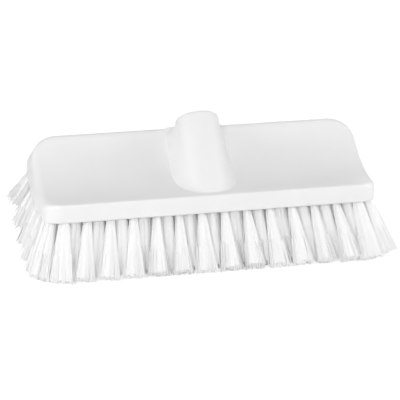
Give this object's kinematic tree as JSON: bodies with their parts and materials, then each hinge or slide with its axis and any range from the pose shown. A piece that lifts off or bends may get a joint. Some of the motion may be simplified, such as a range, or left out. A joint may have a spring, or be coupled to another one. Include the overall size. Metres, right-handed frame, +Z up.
{
  "type": "deck brush head",
  "caption": "Moulded brush head with a bent block, an open trough, a slanted handle socket and fanned bristle rows for scrubbing floors and skirtings.",
  "frame": {"origin": "on the floor, under the middle of the brush's overall box", "axes": "+X along the block, +Y towards the raised back wall and the socket's mouth, +Z up"},
  "size_m": [0.3032, 0.1498, 0.1107],
  "materials": {
    "block_plastic": "satin moulded white",
    "bristle": "white polyester filament",
    "staple_steel": "bright drawn wire"
  },
  "bodies": {
    "root": {"block": "block_plastic", "front_tufts": "bristle", "floor_tufts": "bristle", "rear_tufts": "bristle", "high_tufts": "bristle", "staple_row1_01": "staple_steel", "staple_row1_02": "staple_steel", "staple_row1_03": "staple_steel", "staple_row1_04": "staple_steel", "staple_row1_05": "staple_steel", "staple_row1_06": "staple_steel", "staple_row1_07": "staple_steel", "staple_row1_08": "staple_steel", "staple_row1_09": "staple_steel", "staple_row1_10": "staple_steel", "staple_row1_11": "staple_steel", "staple_row1_12": "staple_steel", "staple_row1_13": "staple_steel", "staple_row1_14": "staple_steel", "staple_row2_01": "staple_steel", "staple_row2_02": "staple_steel", "staple_row2_03": "staple_steel", "staple_row2_04": "staple_steel", "staple_row2_05": "staple_steel", "staple_row2_06": "staple_steel", "staple_row2_07": "staple_steel", "staple_row2_08": "staple_steel", "staple_row2_09": "staple_steel", "staple_row2_10": "staple_steel", "staple_row2_11": "staple_steel", "staple_row2_12": "staple_steel", "staple_row2_13": "staple_steel", "staple_row2_14": "staple_steel", "staple_row2_15": "staple_steel", "staple_row3_01": "staple_steel", "staple_row3_02": "staple_steel", "staple_row3_03": "staple_steel", "staple_row3_04": "staple_steel", "staple_row3_05": "staple_steel", "staple_row3_06": "staple_steel", "staple_row3_07": "staple_steel", "staple_row3_08": "staple_steel", "staple_row3_09": "staple_steel", "staple_row3_10": "staple_steel", "staple_row3_11": "staple_steel", "staple_row3_12": "staple_steel", "staple_row3_13": "staple_steel", "staple_row3_14": "staple_steel"}
  },
  "joints": []
}
